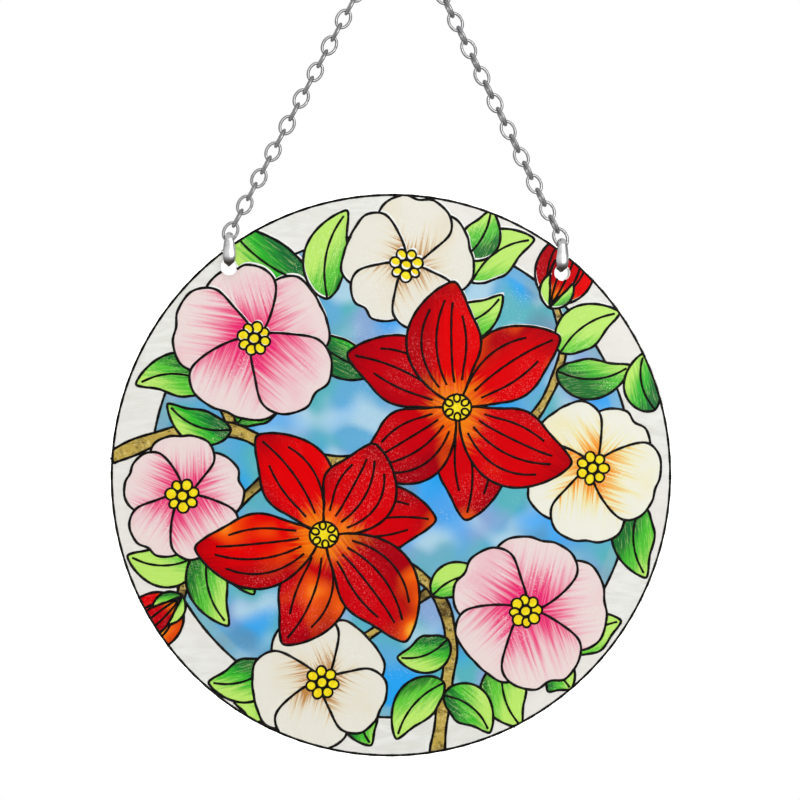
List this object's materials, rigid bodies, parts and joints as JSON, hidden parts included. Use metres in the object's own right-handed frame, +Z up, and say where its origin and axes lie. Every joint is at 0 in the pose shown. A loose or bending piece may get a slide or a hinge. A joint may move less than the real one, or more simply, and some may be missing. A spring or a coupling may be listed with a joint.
{
  "type": "stained glass suncatcher",
  "caption": "Round glass panel with a stained-glass style flower picture in raised dark outlines, hung from a cable chain by two pinch bails.",
  "frame": {"origin": "where a hook bears: the underside of the upper long side of the chain's middle link", "axes": "+Z up, with the panel hanging below the origin; the picture faces -Y; +X to the right as the picture is seen"},
  "size_m": [0.18, 0.006, 0.2707],
  "materials": {
    "glass": "clear glass with translucent coloured enamel and raised black outlines on the front",
    "bail_metal": "polished silver plate",
    "chain_metal": "nickel plate, softly polished"
  },
  "bodies": {
    "root": {"glass_panel": "glass", "bail_left": "bail_metal", "bail_right": "bail_metal", "chain_link_top": "chain_metal", "chain_link_left_01": "chain_metal", "chain_link_left_02": "chain_metal", "chain_link_left_03": "chain_metal", "chain_link_left_04": "chain_metal", "chain_link_left_05": "chain_metal", "chain_link_left_06": "chain_metal", "chain_link_left_07": "chain_metal", "chain_link_left_08": "chain_metal", "chain_link_left_09": "chain_metal", "chain_link_left_10": "chain_metal", "chain_link_left_11": "chain_metal", "chain_link_left_12": "chain_metal", "chain_link_left_13": "chain_metal", "chain_link_left_14": "chain_metal", "chain_link_left_15": "chain_metal", "chain_link_left_16": "chain_metal", "chain_link_left_17": "chain_metal", "chain_link_left_18": "chain_metal", "chain_link_left_19": "chain_metal", "chain_link_left_20": "chain_metal", "chain_link_left_21": "chain_metal", "chain_link_left_22": "chain_metal", "chain_link_left_23": "chain_metal", "chain_link_left_24": "chain_metal", "chain_link_right_01": "chain_metal", "chain_link_right_02": "chain_metal", "chain_link_right_03": "chain_metal", "chain_link_right_04": "chain_metal", "chain_link_right_05": "chain_metal", "chain_link_right_06": "chain_metal", "chain_link_right_07": "chain_metal", "chain_link_right_08": "chain_metal", "chain_link_right_09": "chain_metal", "chain_link_right_10": "chain_metal", "chain_link_right_11": "chain_metal", "chain_link_right_12": "chain_metal", "chain_link_right_13": "chain_metal", "chain_link_right_14": "chain_metal", "chain_link_right_15": "chain_metal", "chain_link_right_16": "chain_metal", "chain_link_right_17": "chain_metal", "chain_link_right_18": "chain_metal", "chain_link_right_19": "chain_metal", "chain_link_right_20": "chain_metal", "chain_link_right_21": "chain_metal", "chain_link_right_22": "chain_metal", "chain_link_right_23": "chain_metal", "chain_link_right_24": "chain_metal"}
  },
  "joints": []
}
